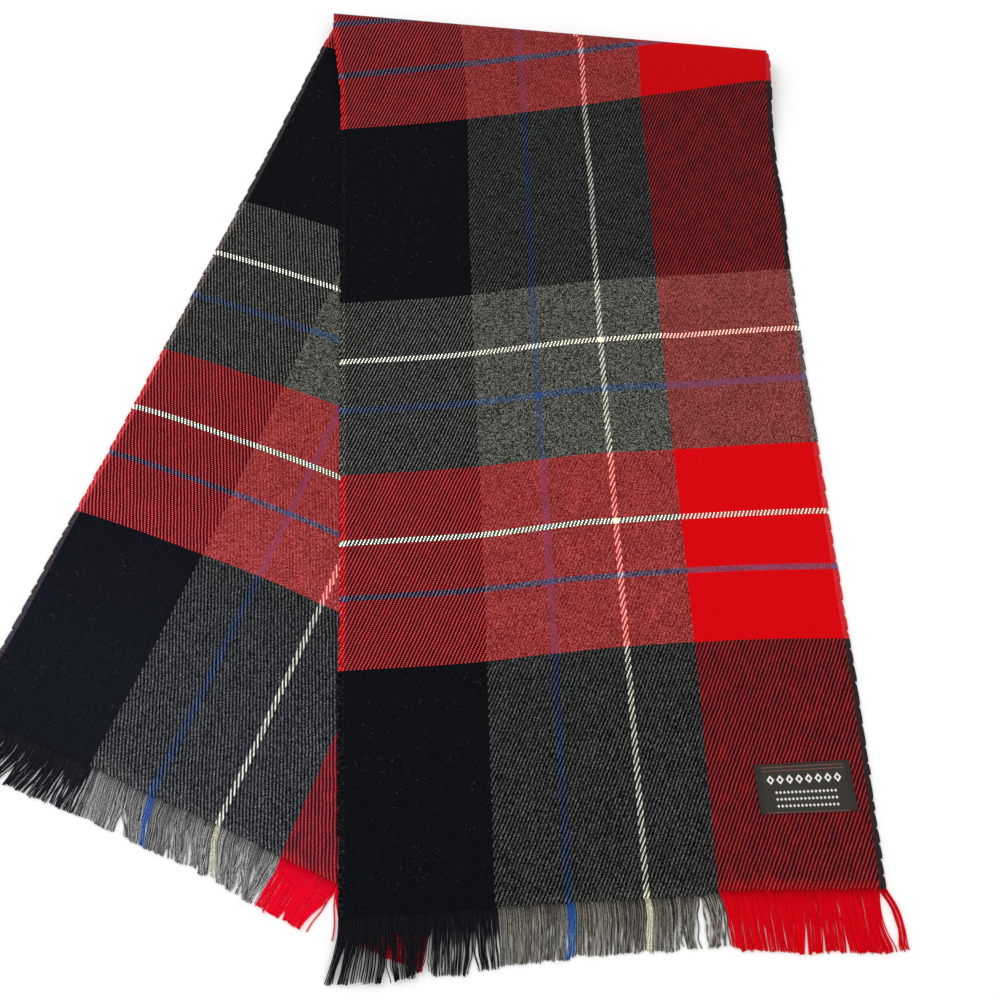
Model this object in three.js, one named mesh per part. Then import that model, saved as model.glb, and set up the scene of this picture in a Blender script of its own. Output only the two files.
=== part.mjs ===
// A plaid scarf: one woven strip with a short yarn fringe on both ends, folded over once near its
// middle and laid on a surface. The upper stretch lies over the lower one, which fans out to its left.
// Millimetres, +X to the right, +Y towards the fold, +Z up; the origin is on the surface, under the
// middle of the whole scarf.
import * as THREE from 'three';

// ---- Driving dimensions ----
const WIDTH = 305; // across the scarf, selvedge to selvedge
const CLOTH = 1.5; // thickness of the woven cloth
const GAP = 0.3; // air between layers, and between pieces where they meet
const FRINGE = 34; // length of the loose yarn ends
const FRINGE_THICKNESS = 1.2;
const BEND_HEIGHT = 14; // height of the soft fold, over everything
const LOFT_REACH = 95; // how far from the fold the upper stretch takes to settle flat
const BEND_DRIFT = 2; // sideways step of the cloth on its way round the fold

// The fold runs between these two points of the plan.
const FOLD_LEFT = new THREE.Vector2(-69.5, 322.4);
const FOLD_RIGHT = new THREE.Vector2(246, 288.4);

// Each stretch runs from the fold to its fringed end. The end's two corners are points of the plan,
// bow is how far the end curves away from the fold, and side says which way the bend carries it.
const STRETCHES = {
  upper: { cornerLeft: [-35, -293.5], cornerRight: [267.5, -277.5], bow: 3.7, side: 1 },
  lower: { cornerLeft: [-260, -174.5], cornerRight: [16, -300], bow: 4.4, side: -1 },
};

// The yarn ends lie in three runs of one colour, between these shares of the scarf's width.
// lean is the angle from -Y, to the right, of the yarn at the left and right of each fringe.
const RUNS = [
  { colour: 'black', from: 0, to: 0.293 },
  { colour: 'grey', from: 0.293, to: 0.6956 },
  { colour: 'red', from: 0.6956, to: 1 },
];
const FRINGE_LEAN = {
  upper: { left: -9, right: 13 },
  lower: { left: -27, right: -22 },
};

// The label is sewn near the upper stretch's right selvedge and its fringed end.
// It is turned a little, so its right end sits higher than its left.
const LABEL = { width: 55, height: 27.5, thickness: 0.8, fromSelvedge: 8.5, fromEnd: 43, turn: 2.2 };

const COLOURS = {
  cloth: 0x3a2a2c,
  black: 0x141620,
  grey: 0x56554f,
  red: 0xc8101e,
  label: 0x2a2422,
};

// ---- The lay of the cloth ----
const foldDirection = FOLD_RIGHT.clone().sub(FOLD_LEFT).normalize();
const foldOutward = new THREE.Vector2(-foldDirection.y, foldDirection.x);

function smoothstep(t) {
  return THREE.MathUtils.smoothstep(t, 0, 1);
}

// A point of the fold line, across = 0 at the left selvedge and 1 at the right one.
function foldPoint(stretch, across) {
  return FOLD_LEFT.clone().lerp(FOLD_RIGHT, across)
    .addScaledVector(foldDirection, (stretch.side * BEND_DRIFT) / 2);
}

// A point of a stretch in plan, along = 0 at the fringed end and 1 at the fold.
function planPoint(stretch, across, along) {
  const end = new THREE.Vector2(...stretch.cornerLeft)
    .lerp(new THREE.Vector2(...stretch.cornerRight), across);
  const point = end.lerp(foldPoint(stretch, across), along);
  point.y += stretch.bow * 4 * across * (1 - across) * (1 - along);
  return point;
}

// The loose end of the yarn that leaves the fringed end at this share of the width.
function fringeTip(name, across) {
  const lean = THREE.MathUtils.degToRad(
    THREE.MathUtils.lerp(FRINGE_LEAN[name].left, FRINGE_LEAN[name].right, across),
  );
  const start = planPoint(STRETCHES[name], across, 0);
  return start.add(new THREE.Vector2(Math.sin(lean), -Math.cos(lean)).multiplyScalar(FRINGE));
}

// How far a point of the plan is inside the lower stretch and its fringe; outside it is negative.
const lowerOutline = [
  fringeTip('lower', 0),
  fringeTip('lower', 1),
  planPoint(STRETCHES.lower, 1, 0),
  FOLD_RIGHT.clone().addScaledVector(foldDirection, BEND_DRIFT),
  FOLD_LEFT.clone().addScaledVector(foldDirection, -BEND_DRIFT),
  planPoint(STRETCHES.lower, 0, 0),
];
function insideLower(point) {
  let inside = Infinity;
  lowerOutline.forEach((corner, i) => {
    const edge = lowerOutline[(i + 1) % lowerOutline.length].clone().sub(corner).normalize();
    inside = Math.min(inside, edge.cross(point.clone().sub(corner)));
  });
  return inside;
}

// Height of the upper stretch's underside: on the lower stretch where there is one, on the surface
// beyond it, and lifted towards the soft fold. It eases down past the edge of the lower stretch.
const EASE_START = 14;
const EASE_LENGTH = 26;
const ON_LOWER = CLOTH + GAP;
const LOFT = BEND_HEIGHT - CLOTH - ON_LOWER;
function restHeight(point) {
  return ON_LOWER * smoothstep((insideLower(point) + EASE_START + EASE_LENGTH) / EASE_LENGTH);
}
function upperHeight(point) {
  const fromFold = Math.max(0, FOLD_LEFT.clone().sub(point).dot(foldOutward));
  const loft = 1 - smoothstep(fromFold / LOFT_REACH);
  return restHeight(point) + LOFT * loft;
}

// ---- Walls ----
// A closed wall on a grid. faces(a, b) gives its under and its over point, a and b from 0 to 1,
// with a to the right and b away from the viewer as seen from the over side.
function wall(name, colour, columns, rows, faces) {
  const positions = [];
  const index = [];
  for (let j = 0; j <= rows; j += 1) {
    for (let i = 0; i <= columns; i += 1) {
      const { under, over } = faces(i / columns, j / rows);
      positions.push(under.x, under.y, under.z, over.x, over.y, over.z);
    }
  }
  const underAt = (i, j) => 2 * (j * (columns + 1) + i);
  const overAt = (i, j) => underAt(i, j) + 1;
  const quad = (a, b, c, d) => index.push(a, b, c, a, c, d);
  for (let j = 0; j < rows; j += 1) {
    for (let i = 0; i < columns; i += 1) {
      quad(overAt(i, j), overAt(i + 1, j), overAt(i + 1, j + 1), overAt(i, j + 1));
      quad(underAt(i, j), underAt(i, j + 1), underAt(i + 1, j + 1), underAt(i + 1, j));
    }
  }
  for (let i = 0; i < columns; i += 1) {
    quad(underAt(i, 0), underAt(i + 1, 0), overAt(i + 1, 0), overAt(i, 0));
    quad(underAt(i + 1, rows), underAt(i, rows), overAt(i, rows), overAt(i + 1, rows));
  }
  for (let j = 0; j < rows; j += 1) {
    quad(underAt(0, j + 1), underAt(0, j), overAt(0, j), overAt(0, j + 1));
    quad(underAt(columns, j), underAt(columns, j + 1), overAt(columns, j + 1), overAt(columns, j));
  }
  const geometry = new THREE.BufferGeometry();
  geometry.setAttribute('position', new THREE.Float32BufferAttribute(positions, 3));
  geometry.setIndex(index);
  geometry.computeVertexNormals();
  const material = new THREE.MeshStandardMaterial({ color: colour, roughness: 0.95, metalness: 0 });
  const mesh = new THREE.Mesh(geometry, material);
  mesh.name = name;
  return mesh;
}

function slabPoint(point, height, thickness) {
  return {
    under: new THREE.Vector3(point.x, point.y, height),
    over: new THREE.Vector3(point.x, point.y, height + thickness),
  };
}

// ---- The pieces ----
// The two stretches stop a gap short of the bend.
function stretchWall(name, columns, rows, heightAt) {
  const stretch = STRETCHES[name];
  const length = planPoint(stretch, 0.5, 0).distanceTo(foldPoint(stretch, 0.5));
  const last = 1 - GAP / length;
  return wall(`${name}_stretch`, COLOURS.cloth, columns, rows, (across, along) => {
    const point = planPoint(stretch, across, along * last);
    return slabPoint(point, heightAt(point), CLOTH);
  });
}

// The soft bend that carries the cloth from the upper stretch round to the lower one.
function bendWall(columns, steps) {
  const outerRadius = BEND_HEIGHT / 2;
  return wall('fold_bend', COLOURS.cloth, columns, steps, (across, round) => {
    const angle = Math.PI * round;
    const base = foldPoint(STRETCHES.upper, across).lerp(foldPoint(STRETCHES.lower, across), round);
    const onArc = (radius) => {
      const point = base.clone().addScaledVector(foldOutward, radius * Math.sin(angle));
      return new THREE.Vector3(point.x, point.y, outerRadius + radius * Math.cos(angle));
    };
    return { under: onArc(outerRadius - CLOTH), over: onArc(outerRadius) };
  });
}

// One run of fringe: a thin slab over the reach of its loose yarns.
function fringeWall(name, run, columns, rows, heightAt) {
  const stretch = STRETCHES[name];
  return wall(`${name}_fringe_${run.colour}`, COLOURS[run.colour], columns, rows, (a, b) => {
    const inset = (0.5 * GAP) / WIDTH;
    const across = THREE.MathUtils.lerp(run.from + inset, run.to - inset, a);
    const tip = fringeTip(name, across);
    const start = planPoint(stretch, across, 0);
    const point = tip.lerp(start, b * (1 - GAP / FRINGE));
    return slabPoint(point, heightAt(point), FRINGE_THICKNESS);
  });
}

// The woven label follows the upper stretch's top face, a gap above it.
function labelWall(columns, rows) {
  const stretch = STRETCHES.upper;
  const width = planPoint(stretch, 0, 0).distanceTo(planPoint(stretch, 1, 0));
  const length = planPoint(stretch, 1, 0).distanceTo(foldPoint(stretch, 1));
  const right = 1 - LABEL.fromSelvedge / width;
  const left = right - LABEL.width / width;
  const bottom = LABEL.fromEnd / length;
  const top = bottom + LABEL.height / length;
  return wall('label', COLOURS.label, columns, rows, (a, b) => {
    const across = THREE.MathUtils.lerp(left, right, a);
    const rise = (a - 1) * LABEL.turn / length;
    const point = planPoint(stretch, across, THREE.MathUtils.lerp(bottom, top, b) + rise);
    return slabPoint(point, upperHeight(point) + CLOTH + GAP, LABEL.thickness);
  });
}

const scarf = new THREE.Group();
scarf.add(stretchWall('lower', 10, 12, () => 0));
scarf.add(bendWall(12, 10));
scarf.add(stretchWall('upper', 24, 48, upperHeight));
for (const run of RUNS) {
  scarf.add(fringeWall('lower', run, 6, 1, () => 0));
  scarf.add(fringeWall('upper', run, 8, 4, restHeight));
}
scarf.add(labelWall(4, 2));

// Set the scarf down with the middle of its box on the origin.
const box = new THREE.Box3().setFromObject(scarf);
const middle = box.getCenter(new THREE.Vector3());
scarf.position.set(-middle.x, -middle.y, -box.min.z);

export default scarf;
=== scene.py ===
from math import pi, radians

import bpy
import numpy as np
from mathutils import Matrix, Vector


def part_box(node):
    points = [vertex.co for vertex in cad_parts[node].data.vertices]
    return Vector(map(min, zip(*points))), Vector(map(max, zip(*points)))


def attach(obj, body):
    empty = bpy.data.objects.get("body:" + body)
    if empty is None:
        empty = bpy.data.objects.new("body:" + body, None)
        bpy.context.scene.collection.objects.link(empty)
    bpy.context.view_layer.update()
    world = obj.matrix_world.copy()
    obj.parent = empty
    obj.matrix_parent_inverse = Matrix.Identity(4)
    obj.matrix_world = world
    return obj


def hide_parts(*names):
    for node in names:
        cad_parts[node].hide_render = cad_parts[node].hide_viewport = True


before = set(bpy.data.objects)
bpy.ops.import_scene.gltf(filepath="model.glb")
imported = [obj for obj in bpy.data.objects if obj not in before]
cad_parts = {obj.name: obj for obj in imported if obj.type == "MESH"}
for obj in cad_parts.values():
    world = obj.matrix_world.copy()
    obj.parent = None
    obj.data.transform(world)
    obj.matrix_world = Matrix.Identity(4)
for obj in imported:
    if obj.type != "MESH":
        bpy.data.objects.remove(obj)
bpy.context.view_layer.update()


# ---- The viewpoint, the light and the surface ----
# The viewer stands at the fringed ends and looks down steeply. The scarf lies on a plain pale table
# top, and two large soft lamps and an even white surround show its weave with hardly any shadow.
MM = 0.001
EYE = (0.0542, -0.2790, 0.650)
LOOK_DOWN = 70.3
LENS = 39.6

camera_data = bpy.data.cameras.new("viewpoint")
camera_data.lens = LENS
camera_data.sensor_width = 36.0
camera_data.clip_start = 0.01
viewpoint = bpy.data.objects.new("viewpoint", camera_data)
viewpoint.location = EYE
viewpoint.rotation_euler = (radians(90 - LOOK_DOWN), 0, 0)
bpy.context.collection.objects.link(viewpoint)
bpy.context.scene.camera = viewpoint


def lamp(name, spot, size, power):
    """A round soft lamp that faces the middle of the scarf."""
    light = bpy.data.lights.new(name, "AREA")
    light.shape = "DISK"
    light.size = size
    light.energy = power
    holder = bpy.data.objects.new(name, light)
    holder.location = spot
    holder.rotation_euler = (-Vector(spot)).to_track_quat("-Z", "Y").to_euler()
    bpy.context.collection.objects.link(holder)


lamp("window_lamp", (-1.3, 1.0, 1.9), 1.2, 14)
lamp("fill_lamp", (1.2, -1.3, 2.2), 2.0, 8)
surround = bpy.data.worlds.new("white_surround")
bpy.context.scene.world = surround
surround.use_nodes = True
surround.node_tree.nodes["Background"].inputs["Color"].default_value = (1, 1, 1, 1)
surround.node_tree.nodes["Background"].inputs["Strength"].default_value = 0.84
bpy.context.scene.view_settings.view_transform = "Standard"


def shade(name, roughness):
    """A new material and its shader."""
    material = bpy.data.materials.new(name)
    material.use_nodes = True
    shader = material.node_tree.nodes["Principled BSDF"]
    shader.inputs["Roughness"].default_value = roughness
    return material, shader


TABLE_HALF = 6.0
table_mesh = bpy.data.meshes.new("table_top")
table_mesh.from_pydata([(-TABLE_HALF, -TABLE_HALF, 0), (TABLE_HALF, -TABLE_HALF, 0),
                        (TABLE_HALF, TABLE_HALF, 0), (-TABLE_HALF, TABLE_HALF, 0)], [], [(0, 1, 2, 3)])
table_top = bpy.data.objects.new("table_top", table_mesh)
table_top.location.z = -0.2 * MM
bpy.context.collection.objects.link(table_top)
table_finish, table_shader = shade("pale_table_top", 0.8)
table_shader.inputs["Base Color"].default_value = (0.97, 0.97, 0.97, 1)
table_mesh.materials.append(table_finish)


# ---- The cloth strip ----
# One strip of acrylic cloth in a 2/2 twill, dyed yarns both ways, folded over once. Its upper stretch
# lies on the lower one, and runs down on to the table past the lower one's edge.
WIDTH = 305 * MM
CLOTH = 1.5 * MM
GAP = 0.3 * MM
FRINGE = 34 * MM

# The sett, in threads: the ends of the warp from the left selvedge, and the picks of the weft from
# either fringe to the middle of the strip, where the order turns back.
WARP_SETT = [
    ("black", 151), ("grey", 65), ("blue", 8), ("grey", 67), ("cream", 6), ("grey", 66), ("red", 160),
]
WEFT_SETT = [
    ("black", 114),
    ("red", 35), ("violet", 3), ("red", 26), ("cream", 3), ("red", 36),
    ("grey", 35), ("blue", 4), ("grey", 26), ("cream", 3), ("grey", 35),
    ("black", 119),
    ("red", 34), ("violet", 4), ("red", 16),
]
ENDS = sum(threads for _, threads in WARP_SETT)
HALF_PICKS = sum(threads for _, threads in WEFT_SETT)
PICKS = 2 * HALF_PICKS
PICK = 1.22 * MM


def corner(node, right, away):
    """The plan point of a CAD node that lies farthest to the given side."""
    points = np.array([vertex.co[:2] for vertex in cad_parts[node].data.vertices])
    return points[np.argmax(points @ np.array([right, away]))].astype(float)


BEND_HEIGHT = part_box("fold_bend")[1][2]


class Stretch:
    """One flat length of the strip, from its fringed end to the fold."""

    def __init__(self, name, bow, picks_left, picks_right, slack):
        self.name = name
        node = f"{name}_stretch"
        self.end_left = corner(node, -1, -1)
        self.end_right = corner(node, 1, -1)
        self.fold_left = corner(node, -1, 1)
        self.fold_right = corner(node, 1, 1)
        self.bow = bow
        self.picks = (picks_left, picks_right)
        self.slack = slack

    def plan(self, across, along):
        """Points of the table plan; across runs from the left selvedge, along from the fringe."""
        across, along = np.broadcast_arrays(across, along)
        w = across[..., None]
        t = along[..., None]
        end = self.end_left + (self.end_right - self.end_left) * w
        fold = self.fold_left + (self.fold_right - self.fold_left) * w
        point = end + (fold - end) * t
        point[..., 1] += self.bow * 4 * across * (1 - across) * (1 - along)
        return point

    def pick_at(self, across, along):
        """How many picks of weft lie between this place and the fringe."""
        whole = self.picks[0] + (self.picks[1] - self.picks[0]) * across
        even, skew, sway = self.slack
        drift = (even + skew * (across - 0.5)) * along * (1 - along)
        return whole * (along - drift) - sway * np.sin(2 * pi * across) * (1 - along ** 4)


# The fold crosses the strip at a slant: these are its picks from the upper fringe at each selvedge.
FOLD_PICK_LEFT = 641 * MM / PICK
FOLD_PICK_RIGHT = 569 * MM / PICK
half_bend = pi * (BEND_HEIGHT - CLOTH) / 4 / PICK
upper = Stretch("upper", 3.7 * MM, FOLD_PICK_LEFT - half_bend, FOLD_PICK_RIGHT - half_bend,
                (0.012, -0.02, -1.3))
lower = Stretch("lower", 4.4 * MM, PICKS - FOLD_PICK_LEFT - half_bend,
                PICKS - FOLD_PICK_RIGHT - half_bend, (-0.012, 0.08, 2.4))

fold_direction = upper.fold_right - upper.fold_left
fold_direction /= np.linalg.norm(fold_direction)
fold_outward = np.array([-fold_direction[1], fold_direction[0]])


def smooth(t):
    """An even rise from 0 to 1 with level ends."""
    t = np.clip(t, 0, 1)
    return t * t * (3 - 2 * t)


def cross(a, b):
    """How far plan direction b turns left of a."""
    return a[..., 0] * b[..., 1] - a[..., 1] * b[..., 0]


def inside(outline, point):
    """How far a plan point is inside an outline that runs anticlockwise; outside it is negative."""
    distance = np.full(point.shape[:-1], np.inf)
    for start, stop in zip(outline, outline[1:] + outline[:1]):
        edge = (stop - start) / np.linalg.norm(stop - start)
        distance = np.minimum(distance, cross(edge, point - start))
    return distance


lower_reach = lower.end_left - lower.fold_left
lower_reach *= FRINGE / np.linalg.norm(lower_reach)
lower_outline = [
    lower.end_left + lower_reach, lower.end_right + lower_reach, lower.end_right,
    lower.fold_right, lower.fold_left, lower.end_left,
]

# Soft ridges where the cloth stands a little off the table: from one plan point to another, in
# millimetres, with how wide and how high each is.
RIDGES = [
    {"from": (-40, 250), "to": (120, 40), "width": 34, "height": 1.1},
    {"from": (110, 230), "to": (235, 150), "width": 26, "height": 0.9},
    {"from": (-30, -40), "to": (90, -190), "width": 30, "height": 1.0},
    {"from": (150, -60), "to": (245, -170), "width": 32, "height": 0.8},
    {"from": (-230, -120), "to": (-110, 130), "width": 28, "height": 1.2},
    {"from": (-130, -190), "to": (-60, -40), "width": 24, "height": 0.9},
    {"from": (20, -255), "to": (210, -235), "width": 30, "height": 0.6},
]


def swell(point):
    """How far the cloth stands off the table for its own softness."""
    rise = np.zeros(point.shape[:-1])
    for ridge in RIDGES:
        start = np.array(ridge["from"]) * MM
        run = np.array(ridge["to"]) * MM - start
        length = np.linalg.norm(run)
        share = ((point - start) @ run) / length ** 2
        aside = cross(run / length, point - start) / (ridge["width"] * MM)
        ends = smooth(share / 0.35) * smooth((1 - share) / 0.35)
        rise += ridge["height"] * MM * np.exp(-aside ** 2) * ends
    x, y = point[..., 0], point[..., 1]
    ripple = np.sin(61 * x + 23 * y) * np.sin(17 * x - 47 * y + 1) + np.sin(29 * x + 71 * y + 2)
    return rise + 0.12 * MM * (2 + ripple)


ON_LOWER = CLOTH + GAP
# Past the lower stretch's edge the upper one comes down to the table: how far out it touches, and over
# what width it comes down.
TOUCHES_PAST = 16 * MM
COMES_DOWN_OVER = 13 * MM
# Towards the fold the upper stretch rises to the top of the bend, and the ridges die away.
LOFT_REACH = 95 * MM
RIDGES_END = 30 * MM


def rest_height(point):
    """The underside of what lies on the lower stretch, and on the table past its edge."""
    return ON_LOWER * smooth((inside(lower_outline, point) + TOUCHES_PAST) / COMES_DOWN_OVER)


def height_of(stretch, point):
    """The underside of a stretch over a plan point."""
    from_fold = np.maximum(0, (stretch.fold_left - point) @ fold_outward)
    own = swell(point) * smooth(from_fold / RIDGES_END)
    if stretch is lower:
        return own
    loft = (BEND_HEIGHT - CLOTH - ON_LOWER) * (1 - smooth(from_fold / LOFT_REACH))
    return rest_height(point) + loft + own


def eased(table, across, along):
    """A smooth surface through a table: rows from the fringe to the fold, columns left to right."""
    table = np.array(table, float)
    rows, columns = table.shape
    row = np.clip(along, 0, 1) * (rows - 1)
    column = np.clip(across, 0, 1) * (columns - 1)
    low_row = np.minimum(row.astype(int), rows - 2)
    low_column = np.minimum(column.astype(int), columns - 2)
    up = smooth(row - low_row) * 0.5 + (row - low_row) * 0.5
    over = smooth(column - low_column) * 0.5 + (column - low_column) * 0.5
    near = table[low_row, low_column] * (1 - over) + table[low_row, low_column + 1] * over
    far = table[low_row + 1, low_column] * (1 - over) + table[low_row + 1, low_column + 1] * over
    return near * (1 - up) + far * up


# How far each selvedge lies from a straight line, to the right, in millimetres, at even steps from
# the fringe to the fold.
EDGES = {
    "upper": {
        "left": [0, 0, 0.3, 1.5, 2.1, 2.3, 2.7, 3.2, 4.2, 4.6, 0],
        "right": [1.6, 2.0, 2.0, 0.8, 0, -0.8, -1.6, -1.8, -0.3, -1.4, 1.5],
    },
    "lower": {
        "left": [1.2, 3.2, 3, 4.0, 4, 3.4, 2.7, 2.4, 1.9, 0.4, -0.6],
        "right": [0, 1, 2, 2, 2, 2, 2, 2, 1, 0, 0],
    },
}
# How far the weave has slid out of square, in millimetres, rows from the fringe to the fold and
# columns from the left selvedge to the right: the warp to the left, and the weft towards the fringe.
WARP_SLIDE = {
    "upper": [
        [0, 1.4, 0.5, 0.8, 0],
        [0, 0, 0.2, -0.2, 0],
        [0, 0, 0.2, -0.6, 0],
        [0, 0, -1.4, -1.6, 0],
        [0, -3, -2.2, -1.6, 0],
    ],
    "lower": [
        [0, 1.8, 0.7, 0, 0],
        [0, -0.6, 0.8, 0.5, 0],
        [0, 1.6, 0.4, 1, 0],
        [0, 1.5, 0, 0, 0],
        [0, 3, 0, 0, 0],
    ],
}
WEFT_SLIDE = {
    "upper": [
        [0, 0, 0, 0, 0],
        [0.7, 1.2, -1, -0.4, -0.6],
        [0, 0.8, -1, 0.6, -1],
        [-0.6, 0.8, -1, 0, -0.8],
        [0, 1.4, 2, -1, -3.5],
    ],
    "lower": [
        [0, 0, 0, 0, 0],
        [0.8, 2.6, 0.5, 0, 0],
        [-0.7, 1.6, 1.5, 0, 0],
        [-1.8, 1.2, 1.5, 0, 0],
        [0, 0, 0, 0, 0],
    ],
}
# How far the weft runs on past the straight end line, in millimetres: share of the width, reach.
LAST_PICKS = {
    "upper": [(0, 0), (0.29, 1.2), (0.60, 1.8), (0.68, 1.0), (0.70, -0.8), (0.80, -0.4), (1, 0)],
    "lower": [(0, 5.6), (0.29, 4.7), (0.42, 4.6), (0.56, 2.8), (0.70, 2.6), (0.81, 1.2), (1, 1)],
}
# Millimetres along a stretch become shares of its length by this, close enough for such short runs.
STRETCH_LONG = 560


def end_along(stretch, across):
    """The share of a stretch's length at which its weft ends, a little ragged."""
    shares, reach = np.array(LAST_PICKS[stretch.name]).T
    ragged = 0.25 * np.sin(across * 97) + 0.2 * np.sin(across * 211 + 1) + 0.15 * np.sin(across * 433)
    return -(np.interp(across, shares, reach) + ragged) / STRETCH_LONG


def edge_shift(stretch, across, along):
    """How far the selvedges' own line moves a place to the right."""
    edges = EDGES[stretch.name]
    return eased(np.array([edges["left"], edges["right"]]).T, across, along) * MM


def lying(stretch, across, along):
    """Underside points, warp share and pick of a stretch, at shares of its width and length."""
    point = stretch.plan(across, along)
    point[..., 0] += edge_shift(stretch, across, along)
    under = np.dstack([point, height_of(stretch, point)])
    warp = across + eased(WARP_SLIDE[stretch.name], across, along) * MM / WIDTH
    pick = stretch.pick_at(across, along) + eased(WEFT_SLIDE[stretch.name], across, along) * MM / PICK
    return under, warp, pick


# The close cloth stops this far inside the selvedges; the loops of the weft stand out past it.
LOOP_REACH = 1.1 * MM
LOOP_SHARE = LOOP_REACH / WIDTH
# The grid of each stretch: faces across it, along it, and round the bend.
COLUMNS = 100
ROWS = 200
BEND_ROWS = 20
# The cloth thins out to this share of itself, over so many millimetres, at its selvedges and where
# the weft ends at the fringe.
THINNEST = 0.55
SIDE_THINS_OVER = 4
END_THINS_OVER = 5.6


def raised(points, height):
    """The same points, higher up."""
    return points + np.dstack([0 * height, 0 * height, height])


def flat_stretch(stretch):
    """Both sides of a stretch with its thread shares, from its fringe to the fold."""
    across = np.linspace(LOOP_SHARE, 1 - LOOP_SHARE, COLUMNS + 1)
    across, along = np.meshgrid(across, np.linspace(0, 1, ROWS + 1))
    under, warp, pick = lying(stretch, across, along + (1 - along) * end_along(stretch, across))
    from_side = np.minimum(across, 1 - across) * WIDTH / MM
    from_end = along * STRETCH_LONG
    full = np.minimum(smooth(from_side / SIDE_THINS_OVER), smooth(from_end / END_THINS_OVER))
    return under, raised(under, CLOTH * (THINNEST + (1 - THINNEST) * full)), warp, pick


def shell(under, over, across, pick):
    """A closed sheet between two grids of points: corners, faces, thread shares and a layout."""
    rows, columns = across.shape
    low = np.arange(rows * columns).reshape(rows, columns)
    top = low + rows * columns
    a, b = np.meshgrid(np.linspace(0, 1, columns), np.linspace(0, 1, rows))

    def quads(*corners):
        return np.stack([corner.ravel() for corner in corners], 1)

    # Each block of faces: its left side and its width in the layout, and what runs across and up it.
    blocks = [
        (quads(top[:-1, :-1], top[:-1, 1:], top[1:, 1:], top[1:, :-1]), 0.005, 0.60, a, b),
        (quads(low[:-1, :-1], low[1:, :-1], low[1:, 1:], low[:-1, 1:]), 0.612, 0.35, a, b),
        (quads(low[1:, 0], low[:-1, 0], top[:-1, 0], top[1:, 0]), 0.967, 0.006, None, b),
        (quads(low[:-1, -1], low[1:, -1], top[1:, -1], top[:-1, -1]), 0.976, 0.006, None, b),
        (quads(low[0, :-1], low[0, 1:], top[0, 1:], top[0, :-1]), 0.984, 0.005, None, a),
        (quads(low[-1, 1:], low[-1, :-1], top[-1, :-1], top[-1, 1:]), 0.992, 0.005, None, a),
    ]
    upper_side = np.concatenate([0 * a.ravel(), 0 * a.ravel() + 1])
    layout = []
    for faces, left, wide, u, v in blocks:
        u = upper_side if u is None else np.tile(u.ravel(), 2)
        flat = faces.ravel()
        layout.append(np.stack([left + wide * u[flat], 0.005 + 0.99 * np.tile(v.ravel(), 2)[flat]], 1))
    faces = np.concatenate([block[0] for block in blocks])
    points = np.concatenate([under.reshape(-1, 3), over.reshape(-1, 3)])
    threads = np.stack([across.ravel(), pick.ravel() / PICKS], 1)
    return points, faces, np.tile(threads, (2, 1)), np.concatenate(layout)


def smooth_mesh(name, points, faces, maps):
    """A mesh with soft shading and its maps; a map has a place for each corner of each face."""
    mesh = bpy.data.meshes.new(name)
    mesh.from_pydata(points, [], faces)
    for label, places in maps.items():
        mesh.uv_layers.new(name=label).data.foreach_set("uv", places.ravel())
    mesh.polygons.foreach_set("use_smooth", np.ones(len(faces), bool))
    mesh.update()
    return mesh


def cloth_mesh(name, shells, laid_out=True):
    """One mesh of closed sheets, with the thread shares as a map named weave."""
    starts = np.cumsum([0] + [len(part[0]) for part in shells])
    faces = np.concatenate([start + part[1] for start, part in zip(starts, shells)])
    points, _, threads, layout = (np.concatenate(parts) for parts in zip(*shells))
    maps = {"weave": threads[faces.ravel()]}
    if laid_out:
        maps["OFBake"] = layout
    return smooth_mesh(name, points, faces.tolist(), maps)


def place(name, mesh, finish, nodes, slot):
    """A finished piece, riding on the one body, in place of the CAD nodes that it stands for."""
    piece = bpy.data.objects.new(name, mesh)
    bpy.context.collection.objects.link(piece)
    mesh.materials.append(finish)
    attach(piece, "root")
    if nodes:
        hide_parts(*nodes)
    return piece


# -- The dyed yarns and the twill --
# The strip is woven of fluffy spun acrylic: black, grey heather and red blocks with fine lines of
# blue, violet and cream. The same yarns run both ways, so every square shows a mix of two of them.

# Red, green and blue as a dyer's chart gives them, 0 to 255, and how much of a heather each yarn is.
YARNS = {
    "black": (13, 14, 18, 0),
    "grey": (67, 67, 62, 1),
    "red": (209, 20, 31, 0),
    "blue": (54, 80, 122, 0.3),
    "violet": (96, 72, 114, 0.3),
    "cream": (250, 247, 222, 0),
}


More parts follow.
